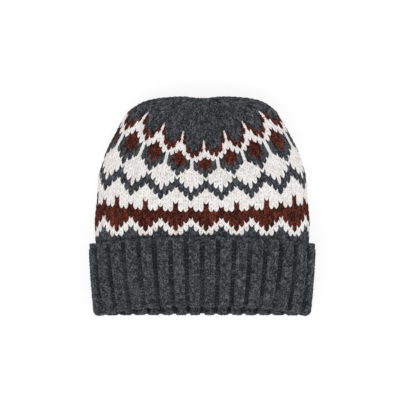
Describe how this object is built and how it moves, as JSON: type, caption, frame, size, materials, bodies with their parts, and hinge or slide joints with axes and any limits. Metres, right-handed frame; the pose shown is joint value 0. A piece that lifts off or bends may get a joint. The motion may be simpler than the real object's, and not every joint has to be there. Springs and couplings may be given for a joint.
{
  "type": "cuffed knitted beanie",
  "caption": "Knitted winter hat with a turned-up ribbed cuff, a stranded pattern and a gathered crown, lying on its back.",
  "frame": {"origin": "on the surface that the hat lies on, under the middle of its width and length", "axes": "+Z out of the front of the hat as it lies on its back, +Y from the mouth towards the gathered crown, +X to the right when looking down on the front with the crown at the top"},
  "size_m": [0.2386, 0.2312, 0.0778],
  "materials": {
    "charcoal_wool": "heathered charcoal wool yarn, soft and slightly fuzzy",
    "cream_wool": "undyed cream wool yarn, soft and slightly fuzzy",
    "rust_wool": "dark rust wool yarn, soft and slightly fuzzy"
  },
  "bodies": {
    "root": {"crown": "charcoal_wool", "patterned_body": "cream_wool", "cuff": "charcoal_wool"}
  },
  "joints": []
}
